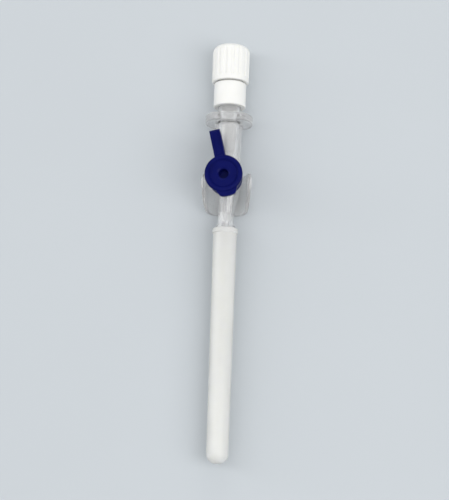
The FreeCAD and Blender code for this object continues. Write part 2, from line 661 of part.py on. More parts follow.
def make_needle():
    """Steel needle, ground face up to a lancet point and open into the flash chamber at its rear."""
    body = new_body("needle")
    tip = "-(nose_reach + tube_show + needle_show)"
    rear = "hub_rear - luer_reach + needle_hold + needle_end"
    turned(body, "shaft", [
        ("needle_bore / 2", tip),
        ("needle_across / 2", tip),
        ("needle_across / 2", rear),
        ("needle_bore / 2", rear)])
    bevel = new_sketch(body, "bevel_side", "YZ_Plane")
    heel = "%s + needle_across / tan(bevel_angle)" % tip
    outline(bevel, [
        ("%s - 1" % tip, "-needle_across / 2 - tan(bevel_angle)"),
        (heel, "needle_across / 2"),
        (heel, "needle_across"),
        ("%s - 1" % tip, "needle_across")])
    pocketed(body, "bevel", bevel, "needle_across * 2", both_ways=True)
    low = "-needle_across / 2 * cos(lancet_turn)"
    end = "%s + needle_across / 2 * (1 + cos(lancet_turn)) / tan(lancet_angle)" % tip
    for side, word in ((1, "right"), (-1, "left")):
        grind = new_sketch(body, "grind_" + word, "YZ_Plane")
        grind.AttachmentOffset = FreeCAD.Placement(
            FreeCAD.Vector(), FreeCAD.Rotation(FreeCAD.Vector(side, 0, 0), value("lancet_turn")))
        grind.setExpression("AttachmentOffset.Rotation.Angle", formula("lancet_turn"))
        outline(grind, [
            ("%s - 1" % tip, "%s - tan(lancet_angle)" % low),
            (end, "needle_across / 2"),
            (end, "needle_across"),
            ("%s - 1" % tip, "needle_across")])
        pocketed(body, "ground_" + word, grind, "needle_across * 2", both_ways=True)
    return body


def make_needle_hub():
    """Clear needle hub in one moulding: male luer, grip flange and flash chamber."""
    body = new_body("needle_hub")
    slope = "luer_mouth / 2 - luer_gap"
    turned(body, "chamber", [
        ("0", "hub_rear - luer_reach"),
        ("%s - luer_taper / 2 * luer_reach" % slope, "hub_rear - luer_reach"),
        (slope, "hub_rear"),
        (slope, FLANGE_FRONT),
        ("chamber_across / 2", FLANGE_FRONT),
        ("chamber_across / 2", "%s + socket_deep - bond_gap" % CHAMBER_END),
        ("0", "%s + socket_deep - bond_gap" % CHAMBER_END)])
    flange = new_sketch(body, "flange_face", "XZ_Plane", "-(%s)" % FLANGE_REAR)
    half_low = "sqrt(flange_across ^ 2 / 4 - flange_low ^ 2)"
    half_high = "sqrt(flange_across ^ 2 / 4 - flange_high ^ 2)"
    outline(flange, [
        ("-" + half_low, "-flange_low"),
        (half_low, "-flange_low", "flange_across / 2", 1),
        ("flange_across / 2", "0", "flange_across / 2", 1),
        (half_high, "flange_high"),
        ("-" + half_high, "flange_high", "flange_across / 2", 1),
        ("-flange_across / 2", "0", "flange_across / 2", 1)])
    padded(body, "flange", flange, "flange_thick")

    def flange_rim(edge):
        box = edge.BoundBox
        flat = box.YLength < 1e-6
        at_face = min(abs(box.YMin - value(FLANGE_FRONT)), abs(box.YMin - value(FLANGE_REAR))) < 1e-4
        outside = edge.CenterOfMass.Length > 0 and max(abs(box.XMax), abs(box.XMin)) > value(
            "chamber_across / 2 + edge_round") - 1e-6
        return flat and at_face and outside
    rounded(body, "flange_rim", flange_rim, "edge_round")
    turned(body, "flash_space", [
        ("0", "hub_rear - luer_reach - 1"),
        ("needle_across / 2 + bond_gap", "hub_rear - luer_reach - 1"),
        ("needle_across / 2 + bond_gap", "hub_rear - luer_reach + needle_hold"),
        ("flash_across / 2", "hub_rear - luer_reach + needle_hold"),
        ("flash_across / 2", FLANGE_FRONT),
        ("chamber_bore / 2", FLANGE_REAR),
        ("chamber_bore / 2", "%s + socket_deep + 1" % CHAMBER_END),
        ("0", "%s + socket_deep + 1" % CHAMBER_END)], cuts=True)
    return body


def make_vent_fitting():
    """White fitting glued over the flash chamber, with the filter's seat and a rear female luer."""
    body = new_body("vent_fitting")
    turned(body, "fitting", [
        ("0", CHAMBER_END),
        ("fitting_across / 2", CHAMBER_END),
        ("fitting_across / 2", FITTING_REAR),
        ("neck_across / 2", FITTING_REAR),
        ("neck_across / 2", NECK_REAR),
        ("0", NECK_REAR)])
    rounded(body, "front_edge", circle_at("fitting_across / 2", CHAMBER_END), "edge_round")
    rounded(body, "rear_edge", circle_at("fitting_across / 2", FITTING_REAR), "edge_round")
    make_lugs(body, NECK_REAR)
    socket_end = "%s + socket_deep" % CHAMBER_END
    filter_end = "%s + socket_deep + filter_thick + bond_gap" % CHAMBER_END
    luer_end = "%s - neck_luer" % NECK_REAR
    turned(body, "passage", [
        ("0", "%s - 1" % CHAMBER_END),
        ("chamber_across / 2 + bond_gap", "%s - 1" % CHAMBER_END),
        ("chamber_across / 2 + bond_gap", socket_end),
        ("filter_across / 2 + bond_gap", socket_end),
        ("filter_across / 2 + bond_gap", filter_end),
        ("vent_across / 2", filter_end),
        ("vent_across / 2", luer_end),
        ("luer_mouth / 2 - luer_taper / 2 * neck_luer", luer_end),
        ("luer_mouth / 2 + luer_taper / 2", "%s + 1" % NECK_REAR),
        ("0", "%s + 1" % NECK_REAR)], cuts=True)
    return body


def make_filter_disc():
    """Porous disc that lets air out of the flash chamber and keeps blood in."""
    body = new_body("filter_disc")
    turned(body, "disc", [
        ("0", "%s + socket_deep" % CHAMBER_END),
        ("filter_across / 2", "%s + socket_deep" % CHAMBER_END),
        ("filter_across / 2", "%s + socket_deep + filter_thick" % CHAMBER_END),
        ("0", "%s + socket_deep + filter_thick" % CHAMBER_END)])
    return body


def make_luer_plug():
    """White plug: a fluted skirt over the fitting's lugs and a hollow male luer inside it."""
    body = new_body("luer_plug")
    skirt_front = "%s + face_gap" % FITTING_REAR
    floor = "%s - plug_wall" % PLUG_REAR
    inside = "lug_across / 2 + plug_gap"
    slope = "luer_mouth / 2 - luer_gap"
    tip = "%s - luer_reach" % NECK_REAR
    turned(body, "plug", [
        ("0", PLUG_REAR),
        ("grip_across / 2", PLUG_REAR),
        ("grip_across / 2", skirt_front),
        (inside, skirt_front),
        (inside, floor),
        ("%s + luer_taper / 2 * (%s - (%s))" % (slope, floor, NECK_REAR), floor),
        ("%s - luer_taper / 2 * luer_reach" % slope, tip),
        ("plug_bore / 2", tip),
        ("plug_bore / 2", floor),
        ("0", floor)])
    rounded(body, "rear_edge", circle_at("grip_across / 2", PLUG_REAR), "plug_round")
    rounded(body, "front_edge", circle_at("grip_across / 2", skirt_front), "edge_round")
    flute = new_sketch(body, "flute_end", "XZ_Plane", "-(%s + 1)" % PLUG_REAR)
    around = "180 / flute_count"
    middle = "(grip_across / 2 + flute_across / 2 - flute_deep)"
    ring(flute, "flute_across", ("%s * cos(%s)" % (middle, around), "%s * sin(%s)" % (middle, around)))
    cut = pocketed(body, "flute", flute, "plug_length - flute_margin + 1", backwards=True)
    flutes = body.newObject("PartDesign::PolarPattern", "flutes")
    flutes.Originals = [cut]
    flutes.Axis = (flute, ["N_Axis"])
    flutes.Angle = 360
    flutes.setExpression("Occurrences", formula("flute_count"))
    body.Tip = flutes
    finish_feature(body, flutes, cuts=True)
    return body


def make_needle_cover():
    """Long protective cover, gripped on the hub's nose and closed by a rounded tip."""
    body = new_body("needle_cover")
    tip = "-cover_reach"
    turned(body, "outside", [
        ("0", COVER_REAR),
        ("cover_mouth / 2 + lip_proud", COVER_REAR),
        ("cover_mouth / 2 + lip_proud", "%s - cover_lip" % COVER_REAR),
        ("cover_mouth / 2", "%s - cover_lip - lip_proud" % COVER_REAR),
        ("cover_end / 2", tip),
        ("0", tip)])
    rounded(body, "mouth_edge", circle_at("cover_mouth / 2 + lip_proud", COVER_REAR), "edge_round")
    rounded(body, "tip_round", circle_at("cover_end / 2", tip), "cover_round")
    seat = "nose_across / 2 + cover_gap + grip_tall"
    turned(body, "inside", [
        ("0", "%s + 1" % COVER_REAR),
        (seat, "%s + 1" % COVER_REAR),
        (seat, "%s - cover_seat" % COVER_REAR),
        ("cover_end / 2 - cover_wall", "%s - cover_seat - cover_wall" % COVER_REAR),
        ("cover_end / 2 - cover_wall", "%s + cover_round" % tip),
        ("cover_end / 2 - cover_wall - cover_round / 2", "%s + cover_wall" % tip),
        ("0", "%s + cover_wall" % tip)], cuts=True)
    rib_end = new_sketch(body, "rib_end", "XZ_Plane", "-(%s - cover_lip / 2)" % COVER_REAR)
    outline(rib_end, [
        ("nose_across / 2 + cover_gap", "-grip_wide / 2"),
        ("%s + grip_tall" % seat, "-grip_wide / 2"),
        ("%s + grip_tall" % seat, "grip_wide / 2"),
        ("nose_across / 2 + cover_gap", "grip_wide / 2")])
    rib = padded(body, "rib", rib_end, "cover_seat + cover_wall * 3 / 4 - cover_lip / 2")
    ribs = body.newObject("PartDesign::PolarPattern", "ribs")
    ribs.Originals = [rib]
    ribs.Axis = (rib_end, ["N_Axis"])
    ribs.Angle = 360
    ribs.setExpression("Occurrences", formula("grip_ribs"))
    body.Tip = ribs
    finish_feature(body, ribs)
    return body


pieces = [
    make_catheter_hub(), make_port_valve(), make_catheter_tube(), make_catheter_wedge(),
    make_port_cap_ring(), make_port_cap(),
    make_needle(), make_needle_hub(), make_vent_fitting(), make_filter_disc(),
    make_luer_plug(), make_needle_cover()]

doc.recompute()
for thing in doc.Objects:
    if "Invalid" in thing.State or "Error" in thing.State:
        raise RuntimeError("%s did not build: %s" % (thing.Label, thing.State))
for piece in pieces:
    if piece.Shape.isNull() or not piece.Shape.isValid() or len(piece.Shape.Solids) != 1:
        raise RuntimeError(piece.Label + " is not one sound solid")

os.makedirs("parts", exist_ok=True)
for piece in pieces:
    piece.Shape.exportStep("parts/%s.step" % piece.Label)
    print("%-16s %9.3f mm3" % (piece.Label, piece.Shape.Volume))
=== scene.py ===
import math

import bpy
from mathutils import Matrix, Vector


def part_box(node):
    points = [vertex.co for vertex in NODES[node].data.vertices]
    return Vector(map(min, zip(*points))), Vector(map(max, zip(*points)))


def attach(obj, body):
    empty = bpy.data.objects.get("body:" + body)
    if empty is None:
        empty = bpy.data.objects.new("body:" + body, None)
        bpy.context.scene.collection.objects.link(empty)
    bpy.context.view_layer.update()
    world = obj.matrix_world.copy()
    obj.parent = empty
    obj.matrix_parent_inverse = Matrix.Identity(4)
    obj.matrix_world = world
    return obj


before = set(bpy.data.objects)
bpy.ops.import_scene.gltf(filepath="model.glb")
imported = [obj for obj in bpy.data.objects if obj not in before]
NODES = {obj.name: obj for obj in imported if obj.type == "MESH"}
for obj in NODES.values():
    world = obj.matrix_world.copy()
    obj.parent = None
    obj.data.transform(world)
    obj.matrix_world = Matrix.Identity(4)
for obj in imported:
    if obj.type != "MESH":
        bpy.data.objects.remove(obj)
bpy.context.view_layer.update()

bl_info = {
    "name": "Winged cannula finishes",
    "version": (1, 0, 0),
    "blender": (4, 5, 0),
    "location": "View3D > Sidebar > Cannula",
    "description": "Finishes a winged cannula with an injection port, piece by piece",
    "category": "Object",
}

MM = 0.001
FULL_TURN = 2 * math.pi
MIX_INPUTS, MIX_OUTPUT = (0, 6, 7), 2   # a Mix node's sockets for colours


def box(node):
    """Lowest and highest corners of a node at rest, as vectors in metres."""
    low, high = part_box(node)
    return Vector(low), Vector(high)


PLUG_LOW, PLUG_HIGH = box("luer_plug")
NECK_REAR = box("vent_fitting")[1].y
COVER_TIP = box("needle_cover")[0].y
AXIS_HEIGHT = (PLUG_LOW.z + PLUG_HIGH.z) / 2
MIDDLE = Vector((0, (COVER_TIP + PLUG_HIGH.y) / 2, AXIS_HEIGHT))

# Stage: lengths in metres, lamps as name, place, size and watts
FLOOR_HALF = 1.5
SENSOR_HEIGHT = 36.0            # millimetres
LAMPS = (
    ("key_lamp", (0.60, -0.20, 0.75), (0.50, 0.80), 3.8),
    ("strip_lamp", (-0.30, 0.00, 0.85), (0.10, 0.90), 1.3),
    ("side_lamp", (-0.80, 0.15, 0.35), (0.20, 0.90), 1.4),
    ("rear_lamp", (0.05, 0.85, 0.50), (0.80, 0.20), 1.0))
SURROUND_COLOUR = (0.98, 0.985, 1.0, 1.0)
SURROUND_LIGHT = 0.68           # strength of the surround where it lights the object
SURROUND_THROUGH = 1.0          # strength that shows through clear plastic
CAMERA_SHARE = 0.6              # how far the camera sees it between these two

# Moulded skin
FLOW_SHARE = 0.22               # frequency of the flow lines, as a share of the grain's
FLOW_STRETCH = 0.04             # their frequency along the cannula, as a share of that across
CLOUD_SHARE = 0.03              # frequency of the clouds, as a share of the grain's
SEAM_WIDTH = 0.1 * MM
BLUE_FADE, BLUE_BLOOM = 1.3, 0.001      # how much paler the blue is in places

# Tones and patterns of the inner pieces
CATHETER_FILM, CATHETER_STRIPE = (0.80, 0.83, 0.82), (0.93, 0.93, 0.90)
CATHETER_STRIPES = 4
STEEL_DARK, STEEL_LIGHT = (0.55, 0.56, 0.58), (0.70, 0.71, 0.72)
STEEL_LINES = 1.5               # frequency of the drawn lines, as a share of the grain's
STEEL_STRETCH = 0.02            # their frequency along the cannula, as a share of that across
SILICONE_DARK, SILICONE_LIGHT = (0.70, 0.68, 0.62), (0.78, 0.77, 0.72)
# The membrane's pore tone is painted shade: it darkens towards each pore's centre
MEMBRANE_PORE_SHADE, MEMBRANE_WEB = (0.62, 0.62, 0.60), (0.90, 0.90, 0.88)

# Ridges of the plug's thread
RIDGE_POINTS = 40               # points on each turn
RIDGE_CREST, RIDGE_ROOT = 0.4, 1.6      # widths of its section, as shares of that at the wall
FADE_SHARE = 0.06               # share of a ridge's length over which each end fades
FADE_LEAST = 0.1                # what is left of its section at the very end
TURNS_BEFORE_LUGS = 1.1
LUG_CLEARANCE = 0.73 * MM


# Sizes and colours that a user would change

class StageSettings(bpy.types.PropertyGroup):
    elevation: bpy.props.FloatProperty(
        name="Elevation", description="Height of the camera's direction over the floor",
        default=math.radians(77), subtype="ANGLE", unit="ROTATION")
    aside: bpy.props.FloatProperty(
        name="Aside", description="Angle by which the camera looks from the cannula's right",
        default=math.radians(5.7), subtype="ANGLE", unit="ROTATION")
    lean: bpy.props.FloatProperty(
        name="Lean", description="Turn of the cannula in the picture, clockwise",
        default=math.radians(2.0), subtype="ANGLE", unit="ROTATION")
    distance: bpy.props.FloatProperty(
        name="Distance", description="Distance of the camera from the cannula",
        default=0.48, subtype="DISTANCE", unit="LENGTH")
    lens: bpy.props.FloatProperty(
        name="Lens", description="Focal length in millimetres on a 36 mm sensor",
        default=125.0, subtype="DISTANCE_CAMERA")
    floor_colour: bpy.props.FloatVectorProperty(
        name="Floor colour", description="Colour of the plain floor",
        default=(0.54, 0.575, 0.60), size=3, subtype="COLOR")
    light: bpy.props.FloatProperty(
        name="Light", description="Strength of the soft lamps, as a share of the usual level",
        default=1.0, min=0.0)


class PlasticSettings(bpy.types.PropertyGroup):
    cover_colour: bpy.props.FloatVectorProperty(
        name="Cover colour", description="Milky plastic of the needle cover",
        default=(0.98, 0.98, 0.945), size=3, subtype="COLOR")
    clear_colour: bpy.props.FloatVectorProperty(
        name="Clear colour", description="Tint of the clear hub and needle hub",
        default=(1.0, 1.0, 0.995), size=3, subtype="COLOR")
    white_colour: bpy.props.FloatVectorProperty(
        name="White colour", description="Opaque white of the plug and the vent fitting",
        default=(0.86, 0.86, 0.83), size=3, subtype="COLOR")
    blue_colour: bpy.props.FloatVectorProperty(
        name="Blue colour", description="Deep blue of the port cap",
        default=(0.001, 0.003, 0.074), size=3, subtype="COLOR")
    grain: bpy.props.FloatProperty(
        name="Grain", description="Spacing of the moulded grain",
        default=0.12 * MM, subtype="DISTANCE", unit="LENGTH")


class ThreadSettings(bpy.types.PropertyGroup):
    wall: bpy.props.FloatProperty(
        name="Wall", description="Radius of the plug's inner wall, which carries the thread",
        default=4.02 * MM, subtype="DISTANCE", unit="LENGTH")
    lead: bpy.props.FloatProperty(
        name="Lead", description="Advance of the thread in one turn",
        default=5.0 * MM, subtype="DISTANCE", unit="LENGTH")
    turns: bpy.props.FloatProperty(
        name="Turns", description="Turns that each ridge winds round the wall",
        default=1.45, min=0.1)
    starts: bpy.props.IntProperty(
        name="Starts", description="Number of ridges that wind side by side", default=2, min=1)
    depth: bpy.props.FloatProperty(
        name="Depth", description="Height of a ridge over the wall",
        default=0.45 * MM, subtype="DISTANCE", unit="LENGTH")
    width: bpy.props.FloatProperty(
        name="Width", description="Width of a ridge at the wall",
        default=0.72 * MM, subtype="DISTANCE", unit="LENGTH")
    lug: bpy.props.FloatProperty(
        name="Lug", description="Thickness of the lugs that the thread pulls on",
        default=1.0 * MM, subtype="DISTANCE", unit="LENGTH")


# Node trees

class Tree:
    """Adds and links the nodes of one node tree."""

    def __init__(self, tree):
        self.tree = tree

    def feed(self, socket, value):
        """Link an output to a socket, or else set the socket to this plain value."""
        if isinstance(value, bpy.types.NodeSocket):
            self.tree.links.new(value, socket)
        else:
            socket.default_value = value

    def add(self, kind, settings=None, **sockets):
        """A new node. In the names of its sockets an underscore stands for a space."""
        node = self.tree.nodes.new(kind)
        for name, value in (settings or {}).items():
            setattr(node, name, value)
        for name, value in sockets.items():
            self.feed(node.inputs[name.replace("_", " ")], value)
        return node

    def maths(self, operation, *values):
        node = self.add("ShaderNodeMath", {"operation": operation})
        for socket, value in zip(node.inputs, values):
            self.feed(socket, value)
        return node.outputs[0]

    def ramp(self, value, low, high, to_low=0.0, to_high=1.0):
        return self.add("ShaderNodeMapRange", None, Value=value, From_Min=low, From_Max=high,
                        To_Min=to_low, To_Max=to_high).outputs[0]

    def mix(self, factor, first, second):
        """A colour between two plain ones."""
        node = self.add("ShaderNodeMix", {"data_type": "RGBA"})
        for index, value in zip(MIX_INPUTS, (factor, (*first, 1.0), (*second, 1.0))):
            self.feed(node.inputs[index], value)
        return node.outputs[MIX_OUTPUT]

    def place(self):
        """Place on the piece, in the frame's own coordinates."""
        return self.add("ShaderNodeTexCoord").outputs["Object"]

    def bump(self, height, distance, strength=1.0, **sockets):
        return self.add("ShaderNodeBump", None, Height=height, Strength=strength,
                        Distance=distance, **sockets).outputs[0]

    def add_group(self, name, **sockets):
        """Outputs of a shader node group that was built before."""
        group = bpy.data.node_groups[name]
        return self.add("ShaderNodeGroup", {"node_tree": group}, **sockets).outputs


def ridge_tree():
    """Ridges that wind round the Y axis, from a start and by a number of turns, as a mesh."""
    group = bpy.data.node_groups.new("winding_ridges", "GeometryNodeTree")
    for label in ("Radius", "Lead", "Turns", "Depth", "Width", "Start", "Phase", "Height"):
        group.interface.new_socket(label, in_out="INPUT", socket_type="NodeSocketFloat")
    group.interface.new_socket("Starts", in_out="INPUT", socket_type="NodeSocketInt")
    group.interface.new_socket("Material", in_out="INPUT", socket_type="NodeSocketMaterial")
    group.interface.new_socket("Geometry", in_out="OUTPUT", socket_type="NodeSocketGeometry")
    tree = Tree(group)
    given = group.nodes.new("NodeGroupInput").outputs
    result = group.nodes.new("NodeGroupOutput").inputs

    # One ridge along a right-handed spiral, with a section half of which lies in the wall
    spiral = tree.add("GeometryNodeCurveSpiral", None, Resolution=RIDGE_POINTS,
                      Rotations=given["Turns"], Start_Radius=given["Radius"],
                      End_Radius=given["Radius"], Reverse=True,
                      Height=tree.maths("MULTIPLY", given["Lead"], given["Turns"]))
    upright = tree.add("GeometryNodeSetCurveNormal", {"mode": "Z_UP"}, Curve=spiral.outputs[0])
    along = tree.add("GeometryNodeSplineParameter").outputs["Factor"]
    from_end = tree.maths("MINIMUM", along, tree.maths("SUBTRACT", 1.0, along))
    section = tree.add("GeometryNodeCurvePrimitiveQuadrilateral", {"mode": "TRAPEZOID"},
                       Height=tree.maths("MULTIPLY", given["Depth"], 2.0),
                       Bottom_Width=tree.maths("MULTIPLY", given["Width"], RIDGE_CREST),
                       Top_Width=tree.maths("MULTIPLY", given["Width"], RIDGE_ROOT),
                       Offset=0.0)
    inward = tree.add("GeometryNodeTransform", None, Geometry=section.outputs[0],
                      Rotation=(0.0, 0.0, -FULL_TURN / 4))
    ridge = tree.add("GeometryNodeCurveToMesh", None, Curve=upright.outputs[0],
                     Profile_Curve=inward.outputs[0], Fill_Caps=True,
                     Scale=tree.ramp(from_end, 0.0, FADE_SHARE, to_low=FADE_LEAST))

    # Its copies, evenly turned, all on one spot
    spots = tree.add("GeometryNodeMeshLine", None, Count=given["Starts"],
                     Offset=(0.0, 0.0, 0.0))
    index = tree.add("GeometryNodeInputIndex").outputs[0]
    share = tree.maths("DIVIDE", tree.maths("MULTIPLY", index, FULL_TURN), given["Starts"])
    turn = tree.add("ShaderNodeCombineXYZ", None, Z=tree.maths("ADD", share, given["Phase"]))
    copies = tree.add("GeometryNodeInstanceOnPoints", None, Points=spots.outputs[0],
                      Instance=ridge.outputs[0], Rotation=turn.outputs[0])

    # The spiral's Z axis laid along Y
    place = tree.add("ShaderNodeCombineXYZ", None, Y=given["Start"], Z=given["Height"])
    laid = tree.add("GeometryNodeTransform", None, Geometry=copies.outputs[0],
                    Translation=place.outputs[0], Rotation=(-FULL_TURN / 4, 0.0, 0.0))
    real = tree.add("GeometryNodeRealizeInstances", None, Geometry=laid.outputs[0])
    painted = tree.add("GeometryNodeSetMaterial", None, Geometry=real.outputs[0],
                       Material=given["Material"])
    group.links.new(painted.outputs[0], result["Geometry"])
    return group


def grown_mesh(name, group, values):
    """A new piece whose plain mesh comes from a Geometry Nodes tree with these named values."""
    piece = bpy.data.objects.new(name, bpy.data.meshes.new(name))
    bpy.context.scene.collection.objects.link(piece)
    modifier = piece.modifiers.new(name, "NODES")
    modifier.node_group = group
    for item in group.interface.items_tree:
        if item.in_out == "INPUT":
            modifier[item.identifier] = values[item.name]
    grown = piece.evaluated_get(bpy.context.evaluated_depsgraph_get())
    mesh = bpy.data.meshes.new_from_object(grown)
    piece.modifiers.clear()
    piece.data = mesh
    mesh.materials.clear()
    mesh.materials.append(values["Material"])
    mesh.polygons.foreach_set("material_index", [0] * len(mesh.polygons))
    return piece


def new_group(name, inputs, outputs):
    """A shader node group with named floats: its tree, what it is given and its results."""
    group = bpy.data.node_groups.new(name, "ShaderNodeTree")
    for label, default in inputs.items():
        socket = group.interface.new_socket(
            label, in_out="INPUT", socket_type="NodeSocketFloat")
        socket.default_value = default
    for label in outputs:
        group.interface.new_socket(label, in_out="OUTPUT", socket_type="NodeSocketFloat")
    given = group.nodes.new("NodeGroupInput").outputs
    result = group.nodes.new("NodeGroupOutput").inputs
    return Tree(group), given, result


def moulded_skin_group():
    """Skin of moulded plastic: fine grain, and long faint flow lines along the cannula."""
    tree, given, result = new_group(
        "moulded_skin",
        {"Grain": 0.12 * MM, "Roughness": 0.35, "Spread": 0.08, "Flow": 0.3},
        ["Roughness", "Height", "Cloud"])
    place = tree.place()
    fineness = tree.maths("DIVIDE", 1.0, given["Grain"])
    grain = tree.add("ShaderNodeTexNoise", None, Vector=place, Scale=fineness,
                     Detail=3.0, Roughness=0.6).outputs["Fac"]
    drawn_out = tree.add("ShaderNodeMapping", None, Vector=place,
                         Scale=(1.0, FLOW_STRETCH, 1.0)).outputs[0]
    flow = tree.add("ShaderNodeTexNoise", None, Vector=drawn_out, Detail=2.0,
                    Scale=tree.maths("MULTIPLY", fineness, FLOW_SHARE)).outputs["Fac"]
    cloud = tree.add("ShaderNodeTexNoise", None, Vector=place, Detail=2.0,
                     Scale=tree.maths("MULTIPLY", fineness, CLOUD_SHARE)).outputs["Fac"]
    height = tree.maths("ADD", grain, tree.maths("MULTIPLY", flow, given["Flow"]))
    swing = tree.maths("SUBTRACT", cloud, 0.5)
    uneven = tree.maths("MULTIPLY_ADD", swing, given["Spread"], given["Roughness"])
    tree.feed(result["Roughness"], uneven)
    tree.feed(result["Height"], height)
    tree.feed(result["Cloud"], cloud)


def round_the_axis_group():
    """Angle round the cannula's axis, as a share of a turn, and distance from it in metres."""
    tree, _, result = new_group("round_the_axis", {}, ["Turn", "Radius"])
    parts = tree.add("ShaderNodeSeparateXYZ", None, Vector=tree.place()).outputs
    up = tree.maths("SUBTRACT", parts["Z"], AXIS_HEIGHT)
    angle = tree.maths("ARCTAN2", parts["X"], up)
    across = tree.maths("MULTIPLY", parts["X"], parts["X"])
    squared = tree.maths("MULTIPLY_ADD", up, up, across)
    tree.feed(result["Turn"], tree.maths("MULTIPLY_ADD", angle, 1 / FULL_TURN, 0.5))
    tree.feed(result["Radius"], tree.maths("SQRT", squared))


def parting_line_group():
    """Fine raised line that the halves of a mould leave at the left and right of a piece."""
    tree, given, result = new_group("parting_line", {"Width": SEAM_WIDTH}, ["Height"])
    round_axis = tree.add_group("round_the_axis")
    half_turn = tree.maths("FRACT", tree.maths("MULTIPLY", round_axis["Turn"], 2.0))
    off = tree.maths("ABSOLUTE", tree.maths("SUBTRACT", half_turn, 0.5))
    angle_off = tree.maths("MULTIPLY", off, math.pi)
    distance = tree.maths("MULTIPLY", angle_off, round_axis["Radius"])
    share = tree.maths("DIVIDE", distance, given["Width"])
    tree.feed(result["Height"], tree.ramp(share, 0.0, 1.0, to_low=1.0, to_high=0.0))


# Materials

def new_material(name):
    """A material with a lone Principled shader, as its tree, its shader and itself."""
    material = bpy.data.materials.new(name)
    material.use_nodes = True
    tree = Tree(material.node_tree)
    return tree, material.node_tree.nodes["Principled BSDF"], material


def set_sockets(shader, **values):
    """Set a shader's own sockets. In their names an underscore stands for a space."""
    for name, value in values.items():
        shader.inputs[name.replace("_", " ")].default_value = value


def scaled(colour, share):
    """A colour at a share of its brightness."""
    return [part * share for part in colour]


def two_tones(tree, shader, value, span, first, second):
    """Base colour that goes from one tone to another while a value crosses a span."""
    share = tree.ramp(value, *span)
    tree.feed(shader.inputs["Base Color"], tree.mix(share, first, second))
    return share


def skin(tree, shader, settings, roughness, spread=0.08, flow=0.3, relief=0.002, seam=0.0):
    """Give a shader the moulded skin and return its cloud. Relief and seam are in mm."""
    group = tree.add_group("moulded_skin", Grain=settings.grain, Roughness=roughness,
                           Spread=spread, Flow=flow)
    normal = tree.bump(group["Height"], relief * MM)
    if seam:
        line = tree.add_group("parting_line")
        normal = tree.bump(line["Height"], seam * MM, Normal=normal)
    tree.feed(shader.inputs["Roughness"], group["Roughness"])
    tree.feed(shader.inputs["Normal"], normal)
    return group["Cloud"]


def milky_plastic(settings):
    """Needle cover: milky, a little see-through, with faint flow lines."""
    tree, shader, material = new_material("milky_polypropylene")
    cloud = skin(tree, shader, settings, roughness=0.21, spread=0.03, flow=0.8,
                 relief=0.001, seam=0.03)
    colour = settings.cover_colour
    two_tones(tree, shader, cloud, (0.35, 0.65), scaled(colour, 0.985), colour)
    set_sockets(shader, Transmission_Weight=0.48, IOR=1.45, Subsurface_Weight=0.35,
                Subsurface_Radius=(0.9 * MM, 0.9 * MM, 0.8 * MM), Subsurface_Scale=1.0)
    return material


def clear_plastic(settings):
    """Hub and needle hub: clear with a slight haze."""
    tree, shader, material = new_material("clear_polypropylene")
    cloud = skin(tree, shader, settings, roughness=0.16, spread=0.06, flow=0.5,
                 relief=0.001, seam=0.02)
    colour = settings.clear_colour
    two_tones(tree, shader, cloud, (0.4, 0.7), colour, scaled(colour, 0.97))
    set_sockets(shader, Transmission_Weight=0.78, IOR=1.42, Coat_Weight=0.5,
                Coat_Roughness=0.05)
    return material


def white_plastic(settings):
    """Plug and vent fitting: opaque white with a satin skin."""
    tree, shader, material = new_material("white_plastic")
    cloud = skin(tree, shader, settings, roughness=0.36)
    colour = settings.white_colour
    two_tones(tree, shader, cloud, (0.3, 0.7), colour, scaled(colour, 0.97))
    set_sockets(shader, Subsurface_Weight=0.25, Subsurface_Scale=1.0,
                Subsurface_Radius=(0.6 * MM, 0.6 * MM, 0.5 * MM))
    return material


def blue_plastic(settings):
    """Port cap: deep blue soft plastic with a finely matt skin."""
    tree, shader, material = new_material("blue_polyethylene")
    cloud = skin(tree, shader, settings, roughness=0.36, spread=0.10, relief=0.003)
    colour = settings.blue_colour
    faded = [part * BLUE_FADE + BLUE_BLOOM for part in colour]
    two_tones(tree, shader, cloud, (0.35, 0.75), colour, faded)
    set_sockets(shader, Specular_IOR_Level=0.07)
    return material


def catheter_plastic(settings):
    """Catheter: smooth translucent film with fine lengthwise stripes that show on X-rays."""
    tree, shader, material = new_material("striped_fluoropolymer")
    skin(tree, shader, settings, roughness=0.2, relief=0.0005)
    turn = tree.add_group("round_the_axis")["Turn"]
    wave = tree.maths("SINE", tree.maths("MULTIPLY", turn, FULL_TURN * CATHETER_STRIPES))
    two_tones(tree, shader, wave, (0.75, 0.85), CATHETER_FILM, CATHETER_STRIPE)
    set_sockets(shader, Transmission_Weight=0.45, IOR=1.35)
    return material


def drawn_steel(settings):
    """Needle and ferrule: drawn stainless steel with fine lines along its length."""
    tree, shader, material = new_material("drawn_steel")
    drawn = tree.add("ShaderNodeMapping", None, Vector=tree.place(),
                     Scale=(1.0, STEEL_STRETCH, 1.0)).outputs[0]
    lines = tree.add("ShaderNodeTexNoise", None, Vector=drawn, Detail=4.0,
                     Scale=1 / settings.grain * STEEL_LINES).outputs["Fac"]
    tree.feed(shader.inputs["Base Color"], tree.mix(lines, STEEL_DARK, STEEL_LIGHT))
    rough = tree.ramp(lines, 0.3, 0.7, to_low=0.18, to_high=0.25)
    tree.feed(shader.inputs["Roughness"], rough)
    tree.feed(shader.inputs["Normal"], tree.bump(lines, 0.002 * MM, strength=0.6))
    set_sockets(shader, Metallic=1.0)
    return material


def soft_silicone(settings):
    """Valve sleeve: cloudy silicone."""
    tree, shader, material = new_material("soft_silicone")
    cloud = skin(tree, shader, settings, roughness=0.5)
    two_tones(tree, shader, cloud, (0.3, 0.7), SILICONE_DARK, SILICONE_LIGHT)
    set_sockets(shader, Transmission_Weight=0.3, IOR=1.41)
    return material


